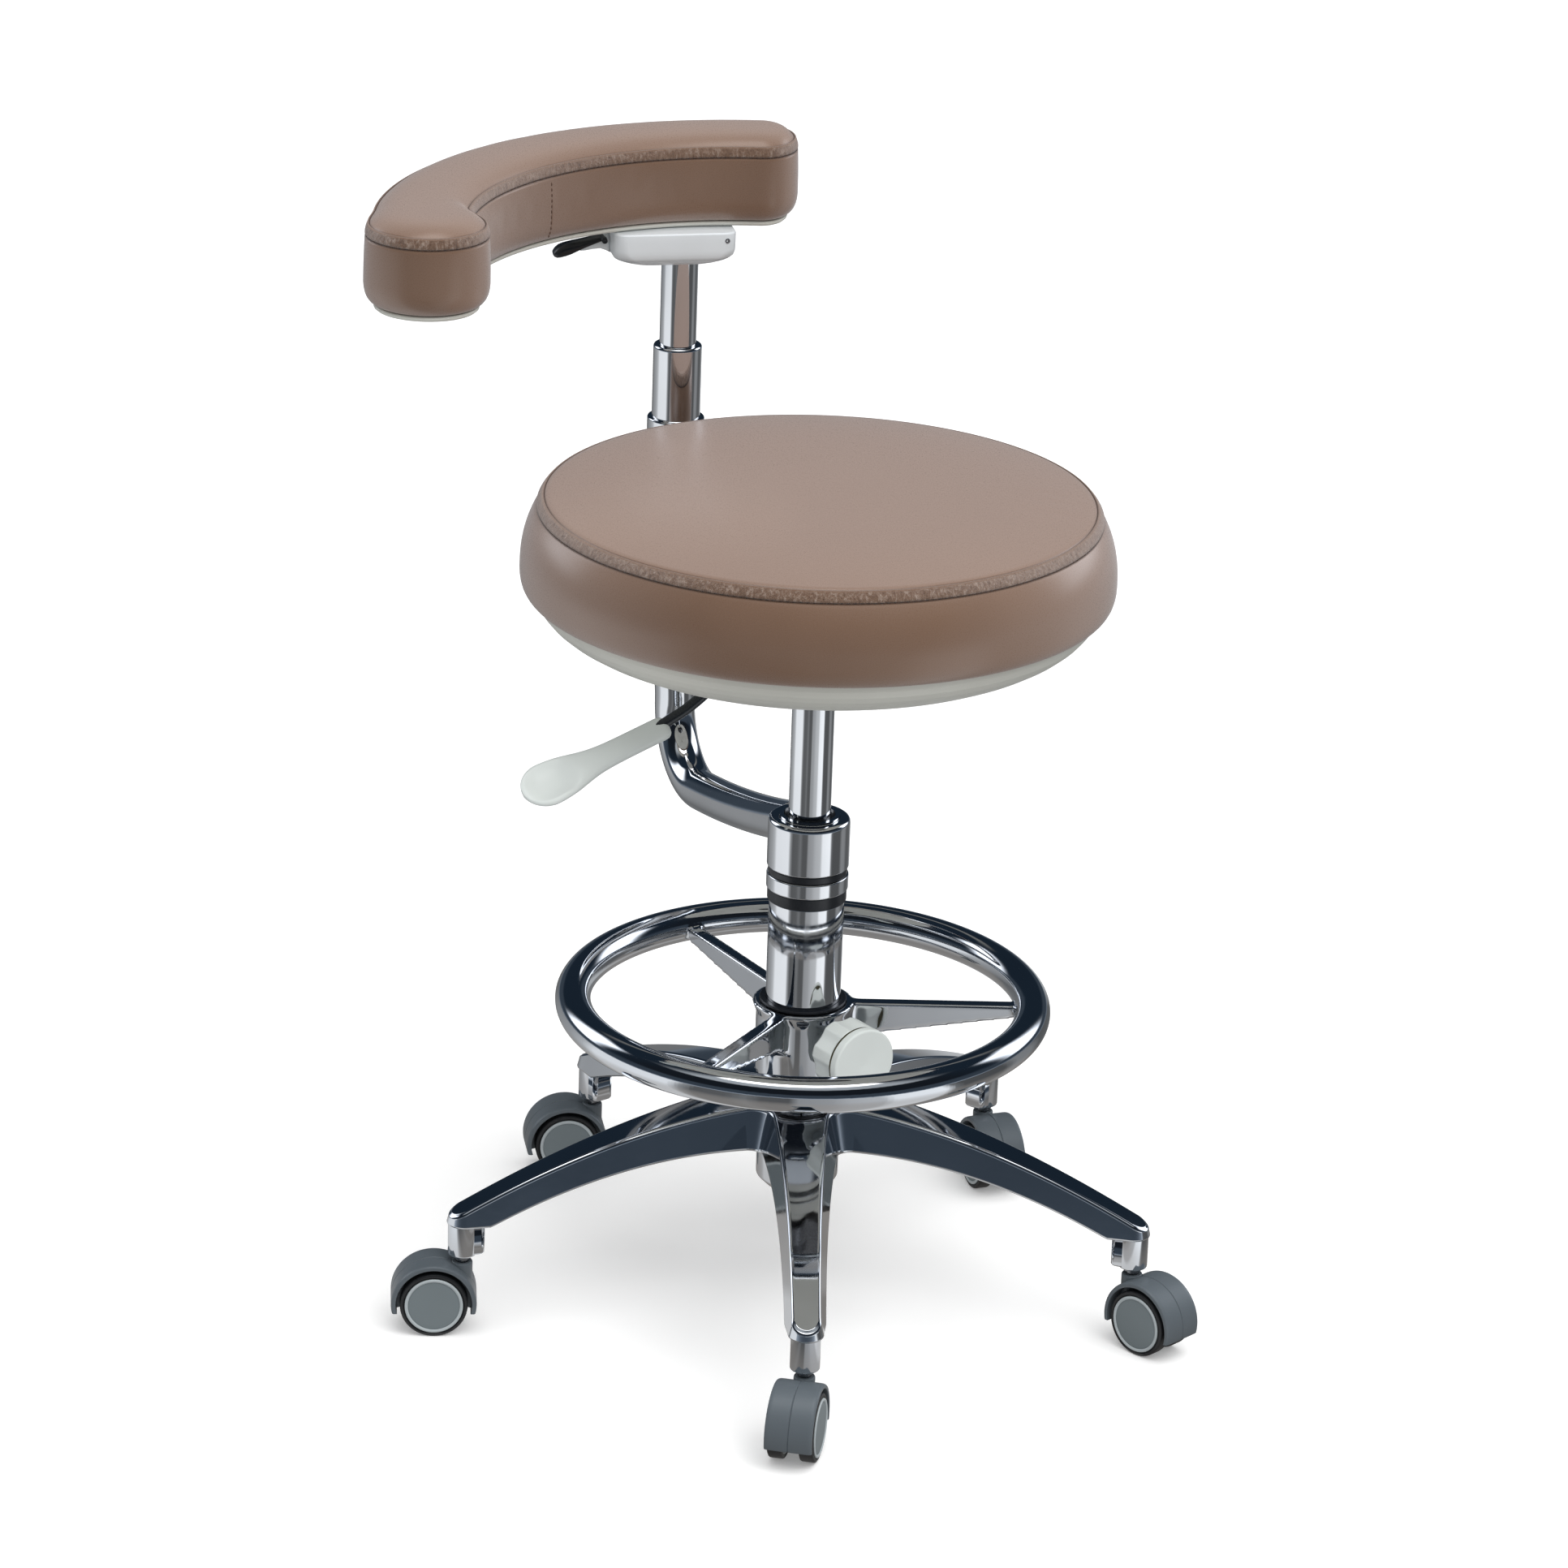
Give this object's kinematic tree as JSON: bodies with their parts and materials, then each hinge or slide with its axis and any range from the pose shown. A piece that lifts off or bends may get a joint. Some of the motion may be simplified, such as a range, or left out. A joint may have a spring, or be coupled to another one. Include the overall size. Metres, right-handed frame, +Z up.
{
  "type": "dentist stool",
  "caption": "Round padded stool on a caster base, with a gas lift, a clamped foot ring and a padded torso bar on a swinging arm.",
  "frame": {"origin": "on the column's axis, at floor level", "axes": "+Z up along the column; -Y towards the front caster arm; +X to the sitter's right in the picture"},
  "size_m": [0.5609, 0.5622, 0.744],
  "materials": {
    "polished_aluminium": "polished cast aluminium",
    "ring_aluminium": "cast aluminium, chrome plated",
    "chrome": "bright chrome plate",
    "gas_chrome": "bright chrome plate",
    "steel": "zinc plated",
    "dark_steel": "blackened",
    "plate_steel": "black powder coat",
    "black_rod": "black powder coat",
    "plywood": "bare plywood",
    "cream_plastic": "smooth, semi-gloss",
    "white_plastic": "smooth, semi-gloss",
    "knob_plastic": "smooth, semi-gloss",
    "handle_plastic": "smooth, semi-gloss",
    "black_plastic": "satin",
    "caster_plastic": "satin",
    "wheel_plastic": "satin",
    "tyre": "soft tread, smooth",
    "vinyl": "smooth upholstery vinyl, satin"
  },
  "bodies": {
    "base": {"base_star": "polished_aluminium", "column_tube": "chrome", "column_neck": "chrome", "gas_bush": "black_plastic", "column_washers": "black_plastic", "spacer_ring": "chrome", "thrust_bearing": "steel"},
    "lift_rod": {"piston_rod": "steel"},
    "seat": {"gas_cylinder": "gas_chrome", "seat_plate": "plate_steel", "seat_board": "plywood", "seat_pan": "cream_plastic", "seat_cushion": "vinyl", "seat_bolts": "steel", "lever_pin": "steel"},
    "lever": {"lever_rod": "black_rod", "lever_handle": "handle_plastic"},
    "arm": {"arm_collar": "chrome", "arm_tube": "chrome", "post_sleeve": "chrome"},
    "post": {"post_tube": "chrome"},
    "bar": {"bar_bracket": "white_plastic", "bar_tray": "cream_plastic", "bar_cushion": "vinyl", "bar_screws": "steel"},
    "paddle": {"bar_paddle": "black_plastic"},
    "ring_slider": {"ring_bush": "black_plastic"},
    "ring": {"foot_ring": "ring_aluminium"},
    "knob": {"clamp_knob": "knob_plastic", "knob_stud": "steel"},
    "caster_1": {"caster_1_hood": "caster_plastic", "caster_1_pins": "dark_steel"},
    "caster_1_a": {"caster_1_wheel_a": "wheel_plastic", "caster_1_tyre_a": "tyre"},
    "caster_1_b": {"caster_1_wheel_b": "wheel_plastic", "caster_1_tyre_b": "tyre"},
    "caster_2": {"caster_2_hood": "caster_plastic", "caster_2_pins": "dark_steel"},
    "caster_2_a": {"caster_2_wheel_a": "wheel_plastic", "caster_2_tyre_a": "tyre"},
    "caster_2_b": {"caster_2_wheel_b": "wheel_plastic", "caster_2_tyre_b": "tyre"},
    "caster_3": {"caster_3_hood": "caster_plastic", "caster_3_pins": "dark_steel"},
    "caster_3_a": {"caster_3_wheel_a": "wheel_plastic", "caster_3_tyre_a": "tyre"},
    "caster_3_b": {"caster_3_wheel_b": "wheel_plastic", "caster_3_tyre_b": "tyre"},
    "caster_4": {"caster_4_hood": "caster_plastic", "caster_4_pins": "dark_steel"},
    "caster_4_a": {"caster_4_wheel_a": "wheel_plastic", "caster_4_tyre_a": "tyre"},
    "caster_4_b": {"caster_4_wheel_b": "wheel_plastic", "caster_4_tyre_b": "tyre"},
    "caster_5": {"caster_5_hood": "caster_plastic", "caster_5_pins": "dark_steel"},
    "caster_5_a": {"caster_5_wheel_a": "wheel_plastic", "caster_5_tyre_a": "tyre"},
    "caster_5_b": {"caster_5_wheel_b": "wheel_plastic", "caster_5_tyre_b": "tyre"}
  },
  "joints": [
    {"name": "seat_turn", "type": "hinge", "parent": "base", "child": "lift_rod", "pos_m": [0, 0, 0.09], "axis": [0, 0, 1], "continuous": true},
    {"name": "seat_height", "type": "slide", "parent": "lift_rod", "child": "seat", "axis": [0, 0, 1], "range_m": [-0.09, 0.03]},
    {"name": "lever_lift", "type": "hinge", "parent": "seat", "child": "lever", "pos_m": [-0.0313, -0.01328, 0.472], "axis": [-0.3907, 0.9205, 0], "range_deg": [0, 8], "stiffness_Nm_per_rad": 3, "springref_deg": -6.88},
    {"name": "arm_swing", "type": "hinge", "parent": "base", "child": "arm", "pos_m": [0, 0, 0.325], "axis": [0, 0, 1], "continuous": true},
    {"name": "post_height", "type": "slide", "parent": "arm", "child": "post", "axis": [0, 0, 1], "range_m": [-0.04, 0.06]},
    {"name": "bar_turn", "type": "hinge", "parent": "post", "child": "bar", "pos_m": [-0.09136, 0.22841, 0.66], "axis": [0, 0, 1], "range_deg": [-90, 90]},
    {"name": "paddle_squeeze", "type": "hinge", "parent": "bar", "child": "paddle", "pos_m": [-0.14404, 0.21912, 0.67], "axis": [-0.1736, 0.9848, 0], "range_deg": [0, 9], "stiffness_Nm_per_rad": 0.3, "springref_deg": -5.73},
    {"name": "ring_height", "type": "slide", "parent": "base", "child": "ring_slider", "axis": [0, 0, 1], "range_m": [-0.01, 0.05]},
    {"name": "ring_turn", "type": "hinge", "parent": "ring_slider", "child": "ring", "pos_m": [0, 0, 0.2], "axis": [0, 0, 1], "continuous": true},
    {"name": "knob_turn", "type": "hinge", "parent": "ring", "child": "knob", "pos_m": [0.02405, -0.03565, 0.19], "axis": [0.5592, -0.829, 0], "continuous": true},
    {"name": "caster_1_swivel", "type": "hinge", "parent": "base", "child": "caster_1", "pos_m": [0, -0.234, 0.055], "axis": [0, 0, 1], "continuous": true},
    {"name": "caster_1_roll_a", "type": "hinge", "parent": "caster_1", "child": "caster_1_a", "pos_m": [-0.00448, -0.25195, 0.0225], "axis": [0.9703, -0.2419, 0], "continuous": true},
    {"name": "caster_1_roll_b", "type": "hinge", "parent": "caster_1", "child": "caster_1_b", "pos_m": [-0.00448, -0.25195, 0.0225], "axis": [0.9703, -0.2419, 0], "continuous": true},
    {"name": "caster_2_swivel", "type": "hinge", "parent": "base", "child": "caster_2", "pos_m": [0.22255, -0.07231, 0.055], "axis": [0, 0, 1], "continuous": true},
    {"name": "caster_2_roll_a", "type": "hinge", "parent": "caster_2", "child": "caster_2_a", "pos_m": [0.2354, -0.08562, 0.0225], "axis": [0.7193, 0.6947, 0], "continuous": true},
    {"name": "caster_2_roll_b", "type": "hinge", "parent": "caster_2", "child": "caster_2_b", "pos_m": [0.2354, -0.08562, 0.0225], "axis": [0.7193, 0.6947, 0], "continuous": true},
    {"name": "caster_3_swivel", "type": "hinge", "parent": "base", "child": "caster_3", "pos_m": [0.13754, 0.18931, 0.055], "axis": [0, 0, 1], "continuous": true},
    {"name": "caster_3_roll_a", "type": "hinge", "parent": "caster_3", "child": "caster_3_a", "pos_m": [0.14326, 0.17172, 0.0225], "axis": [0.9511, 0.309, 0], "continuous": true},
    {"name": "caster_3_roll_b", "type": "hinge", "parent": "caster_3", "child": "caster_3_b", "pos_m": [0.14326, 0.17172, 0.0225], "axis": [0.9511, 0.309, 0], "continuous": true},
    {"name": "caster_4_swivel", "type": "hinge", "parent": "base", "child": "caster_4", "pos_m": [-0.13754, 0.18931, 0.055], "axis": [0, 0, 1], "continuous": true},
    {"name": "caster_4_roll_a", "type": "hinge", "parent": "caster_4", "child": "caster_4_a", "pos_m": [-0.1559, 0.18705, 0.0225], "axis": [0.1219, -0.9925, 0], "continuous": true},
    {"name": "caster_4_roll_b", "type": "hinge", "parent": "caster_4", "child": "caster_4_b", "pos_m": [-0.1559, 0.18705, 0.0225], "axis": [0.1219, -0.9925, 0], "continuous": true},
    {"name": "caster_5_swivel", "type": "hinge", "parent": "base", "child": "caster_5", "pos_m": [-0.22255, -0.07231, 0.055], "axis": [0, 0, 1], "continuous": true},
    {"name": "caster_5_roll_a", "type": "hinge", "parent": "caster_5", "child": "caster_5_a", "pos_m": [-0.24104, -0.07296, 0.0225], "axis": [0.0349, -0.9994, 0], "continuous": true},
    {"name": "caster_5_roll_b", "type": "hinge", "parent": "caster_5", "child": "caster_5_b", "pos_m": [-0.24104, -0.07296, 0.0225], "axis": [0.0349, -0.9994, 0], "continuous": true}
  ]
}
